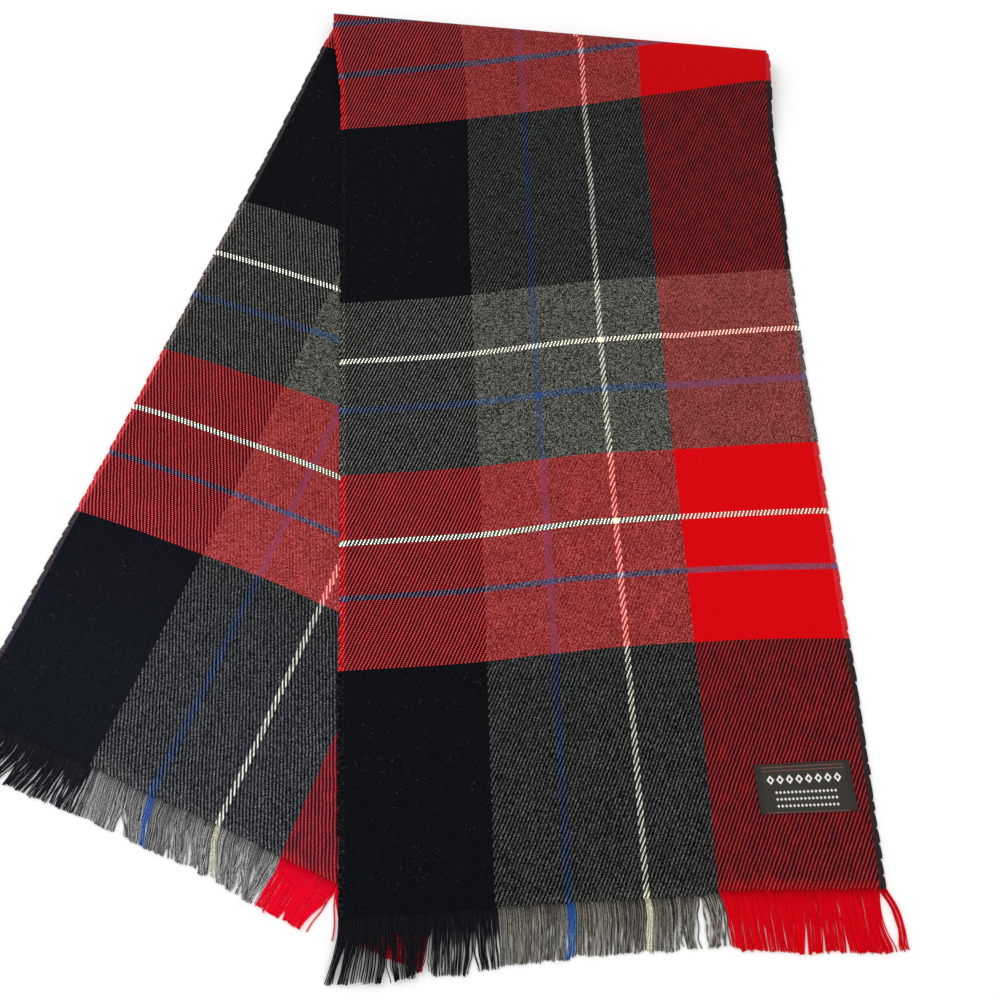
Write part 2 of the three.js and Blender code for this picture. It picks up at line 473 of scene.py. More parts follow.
class Board:
    """A node tree with short calls for its nodes."""

    def __init__(self, tree):
        self.tree = tree

    def node(self, kind, *inputs, **settings):
        node = self.tree.nodes.new(kind)
        for key, value in settings.items():
            setattr(node, key, value)
        for socket, value in zip(node.inputs, inputs):
            self.feed(socket, value)
        return node

    def feed(self, socket, value):
        if isinstance(value, bpy.types.NodeSocket):
            self.tree.links.new(value, socket)
        elif value is not None:
            socket.default_value = value

    def math(self, operation, *inputs):
        return self.node("ShaderNodeMath", *inputs, operation=operation).outputs[0]

    def plus(self, a, b):
        return self.math("ADD", a, b)

    def minus(self, a, b):
        return self.math("SUBTRACT", a, b)

    def times(self, a, b):
        return self.math("MULTIPLY", a, b)

    def times_plus(self, a, b, c):
        return self.math("MULTIPLY_ADD", a, b, c)

    def blend(self, share, a, b):
        node = self.node("ShaderNodeMix", data_type="FLOAT")
        for socket, value in zip((node.inputs[0], node.inputs[2], node.inputs[3]), (share, a, b)):
            self.feed(socket, value)
        return node.outputs[0]

    def ranged(self, value, low, high, to_low, to_high):
        return self.node("ShaderNodeMapRange", value, low, high, to_low, to_high).outputs[0]

    def vector(self, x=0.0, y=0.0, z=0.0):
        return self.node("ShaderNodeCombineXYZ", x, y, z).outputs[0]

    def noise(self, vector, scale, detail, roughness=0.5):
        node = self.node("ShaderNodeTexNoise")
        settings = {"Vector": vector, "Scale": scale, "Detail": detail, "Roughness": roughness}
        for label, value in settings.items():
            self.feed(node.inputs[label], value)
        return node.outputs[0]

    def mix(self, share, a, b):
        node = self.node("ShaderNodeMix", data_type="RGBA")
        for label, value in (("Factor", share), ("A", a), ("B", b)):
            self.feed(node.inputs[label], value)
        return node.outputs["Result"]

    def scale(self, colour, amount):
        node = self.node("ShaderNodeVectorMath", colour, operation="SCALE")
        self.feed(node.inputs["Scale"], amount)
        return node.outputs[0]

    def add(self, colour, other):
        return self.node("ShaderNodeVectorMath", colour, other, operation="ADD").outputs[0]

    def average(self, colour):
        third = (1 / 3, 1 / 3, 1 / 3)
        return self.node("ShaderNodeVectorMath", colour, third, operation="DOT_PRODUCT").outputs["Value"]

    def bump(self, shader, height, strength, distance):
        node = self.node("ShaderNodeBump")
        node.inputs["Strength"].default_value = strength
        node.inputs["Distance"].default_value = distance
        self.feed(node.inputs["Height"], height)
        self.feed(shader.inputs["Normal"], node.outputs[0])


def node_group(name, inputs, outputs):
    """A new group with named inputs and outputs, each given with its kind."""
    tree = bpy.data.node_groups.new(name, "ShaderNodeTree")
    for side, sockets in (("INPUT", inputs), ("OUTPUT", outputs)):
        for label, kind in sockets.items():
            tree.interface.new_socket(label, in_out=side, socket_type="NodeSocket" + kind)
    entry = tree.nodes.new("NodeGroupInput")
    leave = tree.nodes.new("NodeGroupOutput")
    return Board(tree), entry.outputs, leave.inputs


def yarn_order(thread, sett):
    """The yarn at a thread of the sett: its colour, and how much of a heather it is."""
    colour, heather, past = None, None, 0
    for yarn, threads in sett:
        red, green, blue, mixed = YARNS[yarn]
        dye = (red / 255, green / 255, blue / 255, 1)
        if colour is None:
            colour, heather = dye, mixed
        else:
            begun = board.math("GREATER_THAN", thread, past)
            colour = board.mix(begun, colour, dye)
            heather = board.blend(begun, heather, mixed)
        past += threads
    return colour, heather


# Group 1: which yarn runs here, warp and weft.
CROSSING = {"Warp": "Color", "Warp Heather": "Float", "Weft": "Color", "Weft Heather": "Float",
            "End": "Float", "Pick": "Float"}
board, given, result = node_group("plaid_sett", {"Across": "Float", "Along": "Float"}, CROSSING)
end = board.times(given["Across"], ENDS)
pick = board.times(given["Along"], PICKS)
mid_end = board.plus(board.math("FLOOR", end), 0.5)
mid_pick = board.plus(board.math("FLOOR", pick), 0.5)
from_fringe = board.math("MINIMUM", mid_pick, board.minus(PICKS, mid_pick))
warp, warp_heather = yarn_order(mid_end, WARP_SETT)
weft, weft_heather = yarn_order(from_fringe, WEFT_SETT)
for label, value in zip(CROSSING, (warp, warp_heather, weft, weft_heather, end, pick)):
    board.feed(result[label], value)
plaid_sett = board.tree

# Group 2: a 2/2 twill of the two yarns, weft-faced along both selvedges. Where one yarn is pale and
# the other dark, the pale one stands as slanting ribs with dark grooves between them. Yarns that are
# about as light as each other blend into one grainy tone. Colours stay on the chart's scale until
# the end of the group, as the eye does the mixing here.
SELVEDGE_ENDS = 6.5
board, given, result = node_group("twill", CROSSING, {"Colour": "Color", "Height": "Float"})


def weave_noise(across, along, detail, roughness=0.5):
    """Noise over the cloth, so many waves to an end and to a pick."""
    place = board.vector(board.times(given["End"], across), board.times(given["Pick"], along))
    return board.noise(place, 1.0, detail, roughness)


def arch(value):
    """0 at 0 and 1, and 1 between, as the top of a round yarn."""
    bow = board.times(value, board.minus(1.0, value))
    return board.math("POWER", board.math("MAXIMUM", board.times(bow, 4.0), 0.0), 0.5)


def float_turn(along, across_number, ahead):
    """How far along its float over two threads a yarn is, 0 to 1 on the face."""
    steps = board.math("DIVIDE", board.plus(board.minus(along, across_number), ahead), 4.0)
    return board.times(board.math("FRACT", steps), 2.0)


# Which yarn is up, and how high the face stands here.
wobble = board.minus(weave_noise(0.045, 0.09, 2.0), 0.5)
end = board.times_plus(wobble, 2.6, given["End"])
pick = given["Pick"]
end_number = board.math("FLOOR", end)
pick_number = board.math("FLOOR", pick)
step = board.math("FRACT", board.math("DIVIDE", board.minus(end_number, pick_number), 4.0))
from_edge = board.math("MINIMUM", given["End"], board.minus(ENDS, given["End"]))
selvedge = board.math("LESS_THAN", from_edge, SELVEDGE_ENDS)
warp_up = board.times(board.math("LESS_THAN", step, 0.49), board.minus(1.0, selvedge))
warp_dome = board.times(arch(board.math("FRACT", end)), arch(float_turn(pick, end_number, 1.0)))
weft_dome = board.times(arch(board.math("FRACT", pick)), arch(float_turn(end, pick_number, -2.0)))
height = board.blend(warp_up, weft_dome, warp_dome)

# The ribs: the paler yarn where it is up is lighter than the block, and the grooves are darker.
warp_light = board.average(given["Warp"])
weft_light = board.average(given["Weft"])
lighter = board.minus(weft_light, warp_light)
weft_pale = board.math("GREATER_THAN", lighter, 0.0)
pale_up = board.blend(weft_pale, warp_up, board.minus(1.0, warp_up))
contrast = board.math("ABSOLUTE", lighter)
rib = board.times_plus(contrast, 0.5, board.ranged(contrast, 0.08, 0.2, 0.0, 0.09))
rib = board.times(rib, board.blend(weft_pale, 0.80, 1.14))
crown = board.times(pale_up, board.ranged(height, 0.3, 0.8, 0.0, 1.0))
relief = board.times(rib, board.times_plus(crown, 2.0, -0.88))

# The grain: fibres along the yarns and single flecks, most in heather yarns and at the selvedges.
fibre = board.ranged(weave_noise(0.7, 1.4, 2.0, 0.6), 0.3, 0.7, -1.0, 1.0)
cell = board.vector(end_number, board.math("FLOOR", board.times(pick, 2.0)))
chance = board.ranged(board.node("ShaderNodeTexWhiteNoise", cell).outputs["Value"], 0, 1, -1, 1)
heather = board.blend(0.5, given["Warp Heather"], given["Weft Heather"])
grain = board.times_plus(rib, 0.25, board.times_plus(heather, 0.36, 0.035))
grain = board.times_plus(selvedge, 0.13, grain)
grain = board.times(grain, board.blend(0.6, fibre, chance))

# The block's own tone: slanting streaks where one yarn shows more, and more warp by the fringe.
streak_place = board.vector(board.times(board.minus(given["End"], given["Pick"]), 0.13),
                            board.times(board.plus(given["End"], given["Pick"]), 0.085))
streak = board.ranged(board.noise(streak_place, 1.0, 3.0, 0.65), 0.38, 0.68, -0.4, 1.0)
streak = board.times(streak, board.ranged(contrast, 0.1, 0.2, 0.1, 1.0))
weft_share = board.times_plus(streak, board.blend(weft_pale, -0.12, 0.07),
                              board.blend(weft_pale, 0.55, 0.575))
block = board.mix(weft_share, given["Warp"], given["Weft"])
to_fringe = board.math("MINIMUM", given["Pick"], board.minus(PICKS, given["Pick"]))
block = board.mix(board.ranged(to_fringe, 0.0, 5.0, 0.45, 0.0), block, given["Warp"])

# Blocks of two dyes are a little mottled, red with grey looks rusty, and blocks of one dye deeper.
apart = board.node("ShaderNodeVectorMath", given["Warp"], given["Weft"], operation="DISTANCE")
apart = apart.outputs["Value"]
alone = board.math("LESS_THAN", apart, 0.02)
mottle = board.ranged(weave_noise(0.045, 0.07, 3.0), 0.3, 0.7, 0.94, 1.06)
block = board.scale(block, board.blend(alone, mottle, 1.0))
rusty = board.times(board.ranged(contrast, 0.10, 0.15, 1.0, 0.0), board.ranged(apart, 0.3, 0.5, 0.0, 1.0))
block = board.add(block, board.scale((-0.012, 0.040, 0.024), rusty))
block = board.mix(board.times(selvedge, 0.80), block, given["Weft"])
deepened = board.node("ShaderNodeHueSaturation")
strong = board.ranged(contrast, 0.10, 0.20, 1.0, 1.08)
board.feed(deepened.inputs["Saturation"], board.times_plus(alone, 0.16, strong))
board.feed(deepened.inputs["Value"], board.times_plus(alone, 0.01, 1.0))
board.feed(deepened.inputs["Color"], block)
turned_back = board.ranged(weft_light, 0.06, 0.25, 0.0, -0.015)
change = board.times_plus(selvedge, turned_back, board.plus(relief, grain))
face = board.add(deepened.outputs[0], board.vector(change, change, change))
face = board.node("ShaderNodeVectorMath", face, (0, 0, 0), operation="MAXIMUM").outputs[0]

# The upper stretch's right selvedge and the lower one's left are pale and fuzzy: partly pale fuzz of their
# own, partly a painted highlight where the fuzz catches the light.
side = board.minus(board.math("DIVIDE", given["End"], ENDS), board.math("DIVIDE", given["Pick"], PICKS))
pale_fuzz_and_highlight = board.ranged(board.math("ABSOLUTE", side), 0.515, 0.53, 0.0, 0.22)
face = board.mix(board.times(selvedge, pale_fuzz_and_highlight), face, (0.82, 0.66, 0.65, 1))
# Painted sheen: the under end is lighter and bluer, as if its nap caught the light.
painted_end_sheen = board.ranged(given["Pick"], 0.83 * PICKS, 0.95 * PICKS, 0.0, 1.0)
face = board.scale(face, board.times_plus(painted_end_sheen, 0.11, 1.0))
# Painted shade: towards the fold the upper stretch is darker, where it turns away from the light.
painted_fold_shade = board.math("MAXIMUM", board.ranged(given["Pick"], 318, 330, 1.0, 0.91),
                      board.ranged(given["Pick"], 500, 560, 0.91, 1.0))
face = board.add(board.scale(face, painted_fold_shade), board.scale((0.026, 0.030, 0.050), painted_end_sheen))
# From the chart's scale to light.
face = board.scale(board.add(face, (0.055, 0.055, 0.055)), 1 / 1.055)
board.feed(result["Colour"], board.node("ShaderNodeGamma", face, 2.4).outputs[0])
board.feed(result["Height"], height)
twill = board.tree

plaid, plaid_shader = shade("plaid_twill", 0.9)
board = Board(plaid.node_tree)
thread_map = board.node("ShaderNodeUVMap", uv_map="weave")
split = board.node("ShaderNodeSeparateXYZ", thread_map.outputs[0])
sett = board.node("ShaderNodeGroup", split.outputs[0], split.outputs[1], node_tree=plaid_sett)
woven = board.node("ShaderNodeGroup", *[sett.outputs[label] for label in CROSSING], node_tree=twill)
board.feed(plaid_shader.inputs["Base Color"], woven.outputs["Colour"])
board.bump(plaid_shader, woven.outputs["Height"], 0.3, 0.2 * MM)
plaid_shader.inputs["Sheen Weight"].default_value = 0.02
plaid_shader.inputs["Sheen Roughness"].default_value = 0.5
plaid_shader.inputs["Specular IOR Level"].default_value = 0.03


# -- The two stretches, with the bend as part of the upper one --
# The upper stretch turns over at the fold in a soft half round that was never pressed, and the lower
# one runs back from there under it. Picks are counted on round the bend.
under, over, across, pick = flat_stretch(upper)
turn = np.linspace(0, pi, BEND_ROWS + 1)[1:, None]
share = np.linspace(LOOP_SHARE, 1 - LOOP_SHARE, COLUMNS + 1)[None, :]
from_upper = upper.plan(share, np.ones((1, 1)))
to_lower = lower.plan(share, np.ones((1, 1)))
base = from_upper + (to_lower - from_upper) * (turn / pi)[..., None]
bend_radius = BEND_HEIGHT / 2


def on_bend(radius):
    """The bend's points at a distance from its axis."""
    plan = base + fold_outward * (radius * np.sin(turn))[..., None]
    high = np.broadcast_to(bend_radius + radius * np.cos(turn), base.shape[:2])
    return np.dstack([plan, high])


bend_pick = pick[-1][None, :] + 2 * half_bend * turn / pi
under = np.concatenate([under, on_bend(bend_radius - CLOTH)])
over = np.concatenate([over, on_bend(bend_radius)])
across = np.concatenate([across, np.broadcast_to(share, bend_pick.shape)])
pick = np.concatenate([pick, bend_pick])
mesh = cloth_mesh("upper_cloth", [shell(under, over, across, pick)])
upper_cloth = place("upper_cloth", mesh, plaid, ["upper_stretch", "fold_bend"], "plaid_cloth")

under, over, across, pick = flat_stretch(lower)
mesh = cloth_mesh("lower_cloth", [shell(under, over, across, PICKS - pick)])
lower_cloth = place("lower_cloth", mesh, plaid, ["lower_stretch"], "plaid_cloth")


# ---- The selvedge loops ----
# The weft turns back at each selvedge in packed groups of picks. They stand out past the cloth like
# small tabs, 6 to 15 mm long with a slit between them, each set a little askew.

# Across a tab, in millimetres: its rows of points past the selvedge, and how high over the cloth's
# underside its own two sides lie.
TAB_OUT = np.array([-2.6, -1.2, -0.2, 0.0])
TAB_UNDERSIDE = np.array([0.25, 0.10, 0.12, 0.32]) * np.ones((8, 1)) * MM
TAB_TOP = np.array([0.95, 1.25, 1.02, 0.72]) * np.ones((8, 1)) * MM
# The shortest and the longest tab, and the narrowest and the widest slit, in millimetres.
TAB_LONG = (6, 15)
TAB_SLIT = (0.25, 0.6)
# The share of a stretch's length at which its tabs stop, where the bend begins.
TABS_STOP = 0.985


def selvedge_tabs(stretch, random):
    """The tabs along both selvedges of a stretch."""
    tabs = []
    for right in (False, True):
        edge_ends = (1 - 3.5 / ENDS, 1 - 0.5 / ENDS) if right else (0.5 / ENDS, 3.5 / ENDS)
        along = end_along(stretch, np.array([float(right)]))[0] + 0.001
        while along < TABS_STOP:
            long = random.uniform(*TAB_LONG) / STRETCH_LONG
            slit = random.uniform(*TAB_SLIT) / STRETCH_LONG
            foot = random.uniform(-0.1, 0.45)
            head = foot - random.uniform(0.2, 0.8)
            out, run = np.meshgrid(TAB_OUT, np.linspace(0, 1, len(TAB_TOP)))
            reach = foot + (head - foot) * run
            rounded = 0.5 * np.abs(2 * run - 1) ** 6
            from_edge = out + (reach - rounded) * smooth((out - TAB_OUT[0]) / 1.4)
            across = -from_edge * MM / WIDTH
            across = 1 - across if right else across
            there = np.minimum(along + (long - slit) * run, TABS_STOP + 0.007)
            under, warp, pick = lying(stretch, across, there)
            grids = [raised(under, TAB_UNDERSIDE), raised(under, TAB_TOP), np.clip(warp, *edge_ends),
                     PICKS - pick if stretch is lower else pick]
            if not right:
                grids = [grid[:, ::-1] for grid in grids]
            tabs.append(shell(*grids))
            along += long
    return tabs


for stretch, seed in ((upper, 21), (lower, 22)):
    name = f"{stretch.name}_selvedges"
    mesh = cloth_mesh(name, selvedge_tabs(stretch, np.random.default_rng(seed)), laid_out=False)
    place(name, mesh, plaid, [], "plaid_cloth")


# ---- The yarn ends ----
# Past the last pick of weft the warp is left loose, 34 mm of it, as a fringe of single yarns. They
# lie in sheets and wisps with the surface showing between them, and follow the colours of the warp.
YARN_SIDES = 4


def linear(red, green, blue):
    """A colour as a dyer's chart gives it, 0 to 255, as the light it sends back."""
    chart = np.array([red, green, blue]) / 255
    light = np.where(chart <= 0.04045, chart / 12.92, ((chart + 0.055) / 1.055) ** 2.4)
    return tuple(float(value) for value in light) + (1.0,)


def pointed(degrees_right):
    """The plan direction at an angle from -Y, turned to the right."""
    turn = np.radians(degrees_right)
    return np.stack([np.sin(turn), -np.cos(turn)], -1)


def tubes(paths, radius):
    """Closed yarns round many paths of one number of points: corners and faces."""
    count, steps, _ = paths.shape
    run = np.gradient(paths, axis=1)
    run /= np.linalg.norm(run, axis=2, keepdims=True)
    aside = np.cross(run, [0.0, 0.0, 1.0])
    aside /= np.linalg.norm(aside, axis=2, keepdims=True)
    up = np.cross(aside, run)
    angles = 2 * pi * (np.arange(YARN_SIDES) + 0.5) / YARN_SIDES
    ring = np.cos(angles)[:, None] * aside[:, :, None] + np.sin(angles)[:, None] * up[:, :, None]
    radius = np.broadcast_to(np.asarray(radius), (count, steps))[..., None, None]
    corners = (paths[:, :, None] + ring * radius).reshape(-1, 3)
    grid = np.arange(count * steps * YARN_SIDES).reshape(count, steps, YARN_SIDES)
    beside = np.roll(grid, -1, axis=2)
    walls = np.stack([grid[:, :-1], grid[:, 1:], beside[:, 1:], beside[:, :-1]], -1).reshape(-1, 4)
    return corners, walls.tolist() + grid[:, 0].tolist() + grid[:, -1, ::-1].tolist()


def yarn_mesh(name, paths, radius, colours, dim=1.0):
    """A piece of many yarns; dim is how much light each keeps at every point of its path."""
    corners, faces = tubes(paths, radius)
    # The layout has an upright strip for each yarn, with its two cut ends above it.
    count, steps, _ = paths.shape
    yarn, ring, side = np.meshgrid(
        np.arange(count), np.arange(steps - 1), np.arange(YARN_SIDES), indexing="ij")
    in_strip = (side[..., None] + np.array([0, 0, 1, 1])) / YARN_SIDES
    across = (yarn[..., None] + 0.05 + 0.9 * in_strip) / count
    along = 0.01 + 0.94 * (ring[..., None] + np.array([0, 1, 1, 0])) / (steps - 1)
    layout = [np.stack([across, along], -1).reshape(-1, 2)]
    for left in (0.1, 0.6):
        across = (np.arange(count)[:, None] + left + 0.3 * np.array([0, 1, 1, 0])) / count
        along = np.broadcast_to(0.965 + 0.02 * np.array([0, 0, 1, 1]), across.shape)
        layout.append(np.stack([across, along], -1).reshape(-1, 2))
    mesh = smooth_mesh(name, corners, faces, {"OFBake": np.concatenate(layout)})
    dim = np.broadcast_to(dim, (count, steps))[..., None]
    colours = np.concatenate([colours[:, None, :3] * dim, np.ones((count, steps, 1))], 2)
    dyes = mesh.attributes.new("yarn", "FLOAT_COLOR", "POINT")
    dyes.data.foreach_set("color", np.repeat(colours.reshape(-1, 4), YARN_SIDES, axis=0).ravel())
    return mesh


# Group 3: flecks along a loose yarn, over its own dye.
board, given, result = node_group("yarn_fleck", {"Dye": "Color", "Fleck": "Float"}, {"Colour": "Color"})
spot = board.node("ShaderNodeTexCoord").outputs["Object"]
flecks = board.ranged(board.noise(spot, 1100, 2.0, 0.6), 0.3, 0.7, -1.0, 1.0)
flecks = board.times_plus(flecks, given["Fleck"], 1.0)
board.feed(result["Colour"], board.scale(given["Dye"], flecks))
yarn_fleck = board.tree


def yarn_finish(name, fleck, sheen):
    """The finish of loose yarn: each one's own dye, flecked along its length."""
    material, shader = shade(name, 0.85)
    board = Board(material.node_tree)
    dye = board.node("ShaderNodeAttribute", attribute_name="yarn").outputs["Color"]
    flecked = board.node("ShaderNodeGroup", dye, fleck, node_tree=yarn_fleck)
    board.feed(shader.inputs["Base Color"], flecked.outputs["Colour"])
    shader.inputs["Sheen Weight"].default_value = sheen
    shader.inputs["Specular IOR Level"].default_value = 0.04
    return material


black_yarn = yarn_finish("black_acrylic_yarn", 0.3, 0.05)
grey_yarn = yarn_finish("grey_heather_yarn", 0.6, 0.03)
red_yarn = yarn_finish("red_acrylic_yarn", 0.15, 0.0)

# The darkest and the palest loose yarn of each dye, on the chart's scale. The under end's are paler and
# bluer: painted light, as from a lamp on the left.
YARN_SHADES = {
    "upper": {
        "black": [(10, 11, 15), (24, 25, 31)], "grey": [(22, 21, 18), (158, 154, 142)],
        "blue": [(30, 74, 136), (62, 112, 184)], "cream": [(192, 186, 152), (226, 222, 196)],
        "red": [(198, 0, 14), (232, 2, 24)],
    },
    "lower": {
        "black": [(13, 15, 20), (34, 37, 46)], "grey": [(34, 34, 37), (184, 182, 182)],
        "blue": [(40, 70, 140), (90, 124, 196)], "cream": [(186, 182, 158), (222, 220, 200)],
        "red": [(222, 0, 30), (255, 8, 48)],
    },
}
# How the loose yarns lie, from the left of each fringe: the share of the width, which way the tips
# point in degrees from -Y to the right, the length in millimetres, how far clumps stray from that in
# degrees, and how much single yarns wave. Between rows it changes evenly.
LIE = {
    "upper": [
        (0.000, -17, 33.5, 1, 0.4), (0.040, -9, 34, 1, 0.4), (0.085, 1, 33.5, 1, 0.4),
        (0.090, 3, 33.5, 2, 0.6), (0.128, 3, 33, 1.2, 0.5), (0.140, -4, 32, 1.6, 0.6),
        (0.166, -12, 30, 2, 0.9), (0.172, -3, 33, 1, 0.6), (0.240, 0, 33, 2, 0.6),
        (0.246, 2, 31.5, 2, 0.6), (0.289, 3, 30, 2, 0.6), (0.350, -1, 29.5, 3, 1.3),
        (0.415, -2, 29, 3, 1.3), (0.430, -3, 28.5, 1, 0.5), (0.445, -1, 28, 2, 1.3),
        (0.556, -6, 27.6, 3, 1.3), (0.570, -7, 27.4, 1, 0.4), (0.600, -2, 27.2, 3, 1.4),
        (0.640, -1, 27, 3, 2.0), (0.692, 3, 27.5, 3, 2.0), (0.700, 7, 30.5, 1, 0.4),
        (0.760, 8, 32, 2, 0.5), (0.800, 5, 33, 2, 0.5), (0.848, -2, 33.5, 2, 0.5),
        (0.880, 4, 33, 3, 0.5), (0.984, 5, 33, 1, 0.4), (0.987, 13, 33, 1, 0.4),
        (1.000, 15, 32, 1, 0.4),
    ],
    "lower": [
        (0.000, -50, 29, 3, 0.6), (0.100, -46, 29, 3, 0.6), (0.200, -38, 28, 3, 0.6),
        (0.285, -20, 27, 4, 1.2), (0.340, -6, 27, 6, 1.6), (0.405, -2, 28, 6, 1.6),
        (0.420, -2, 28, 2, 0.5), (0.450, -8, 28, 7, 1.9), (0.510, -5, 28, 7, 1.9),
        (0.550, 2, 28, 6, 1.8), (0.568, 2, 28.5, 2, 0.5), (0.620, 0, 28.5, 9, 2.6),
        (0.690, -22, 29, 7, 2.4), (0.700, -28, 29, 2, 0.5), (0.811, -32, 29.5, 2, 0.5),
        (0.815, -10, 26, 2, 0.5), (0.900, -8, 23, 3, 0.6), (1.000, -12, 20, 3, 0.6),
    ],
}
# Where a fringe parts: the share of the width, the share of the length where it begins and where it
# closes again (past 1 it stays open), and how wide it is and how far its push reaches, in millimetres.
# A width below 0 draws the yarns together there.
PARTINGS = {
    "upper": [
        (0.087, 0.74, 2.0, 5.5, 5), (0.169, 0.80, 2.0, 3.0, 5), (0.243, 0.68, 2.0, 5.5, 5),
        (0.128, 0.25, 2.0, -4.5, 9),
        (0.431, 0.90, 2.0, 2.0, 3), (0.500, 0.35, 2.0, 1.0, 3), (0.610, 0.55, 2.0, 1.6, 3),
        (0.622, 0.60, 2.0, 2.4, 4), (0.655, 0.00, 1.25, 9.0, 6), (0.682, 0.80, 2.0, 1.6, 2),
        (0.760, 0.50, 2.0, 1.2, 4), (0.842, 0.35, 2.0, 2.4, 4), (0.870, 0.45, 2.0, 1.8, 4),
        (0.905, 0.60, 1.6, 1.6, 4), (0.9855, 0.05, 0.88, 6.5, 12),
    ],
    "lower": [
        (0.080, 0.50, 2.0, 4.5, 4), (0.150, 0.50, 2.0, 5.0, 4), (0.205, 0.60, 2.0, 2.4, 4),
        (0.368, 0.50, 2.0, 7.5, 6), (0.411, 0.60, 2.0, 1.6, 2), (0.470, 0.70, 2.0, 3.4, 3),
        (0.530, 0.72, 2.0, 3.4, 3), (0.610, 0.60, 2.0, 1.4, 3), (0.750, 0.80, 2.0, 3.0, 3),
        (0.812, 0.10, 2.4, 16.0, 7),
    ],
}
# The narrow slits between yarns: how many yarns apart, how wide in millimetres, and where they begin.
SLITS = {
    "upper": {"black": (4.5, 0.85, 0.36), "grey": (14, 0.5, 0.3), "red": (12, 0.5, 0.34)},
    "lower": {"black": (4.5, 0.9, 0.04), "grey": (12, 0.5, 0.2), "red": (14, 0.5, 0.2)},
}
# Locks of yarns that cling together: how many yarns in each, and how much they close up.
LOCKS = {"black": (3.6, 0.32), "grey": (6, 0.12), "red": (9, 0.06)}
# How much fuller each yarn is than its twist where the sheet is still close, and at its tip.
FULLNESS = {
    "upper": {"black": (1.45, 1.0), "grey": (1.32, 1.08), "red": (1.42, 1.28)},
    "lower": {"black": (1.3, 1.0), "grey": (1.3, 1.1), "red": (1.42, 1.3)},
}
# The ends of each run, as the warp has them; the grey run takes in its blue and cream lines.
BLACK_ENDS = WARP_SETT[0][1]
RED_BEGINS = ENDS - WARP_SETT[-1][1]
RUN_ENDS = {"black": (0, BLACK_ENDS), "grey": (BLACK_ENDS, RED_BEGINS), "red": (RED_BEGINS, ENDS)}


def partings(stretch, random):
    """Every parting of a fringe, the named ones and the narrow slits."""
    found = list(PARTINGS[stretch.name])
    for run, (first, last) in RUN_ENDS.items():
        every, wide, begins = SLITS[stretch.name][run]
        for _ in range(int((last - first) / every)):
            share = random.uniform(first, last) / ENDS
            # Over the tips of the lower fringe the black yarns lie in one close sheet.
            if stretch is upper and 0.10 < share < 0.17:
                continue
            start = begins + 0.45 * random.random() ** 1.5
            close = 2.0 if random.random() < 0.4 else start + random.uniform(0.25, 0.6)
            found.append((share, start, close, wide * random.uniform(0.5, 1.3), 1.0))
    return found


def pushed(parting, ends, t):
    """How far a parting pushes each yarn aside at a share of its length, in millimetres."""
    share, begins, closes, wide, reach = parting
    if closes <= 1.5:
        opened = np.sin(pi * np.clip((t - begins) / (closes - begins), 0, 1)) ** 0.8
    elif wide < 1.5:
        opened = smooth((t - begins) / 0.2)
    else:
        opened = smooth((t - begins) / (1 - begins))
    from_slit = (ends - share) * WIDTH / MM
    return np.sign(from_slit) * wide / 2 * opened * np.exp(-np.abs(from_slit) / reach)


def in_locks(stretch, ends, random):
    """The lock that each yarn is in, and how far it is drawn to the lock's middle, in millimetres."""
    lock = np.zeros(ENDS, int)
    cling = np.zeros(ENDS)
    for run, (first, last) in RUN_ENDS.items():
        size, close_up = LOCKS[run]
        lock[first:last] = lock.max() + 1 + np.cumsum(random.random(last - first) < 1 / size)
        cling[first:last] = close_up
    middle = (np.bincount(lock, ends) / np.maximum(np.bincount(lock), 1))[lock]
    cling = cling * random.uniform(0.5, 1.2, lock.max() + 1)[lock] * (middle - ends) * WIDTH / MM
    if stretch is upper:
        cling = cling * np.interp(ends, (0.085, 0.10, 0.16, 0.172), (1, 0.1, 0.1, 1))
    return lock, cling


# Each yarn's path has a point held in the cloth, and these from the last pick to its tip.
STEPS = np.linspace(0, 1, 13)
# Clumps of about nine yarns stray together: this many clumps over the width.
CLUMPS = 60


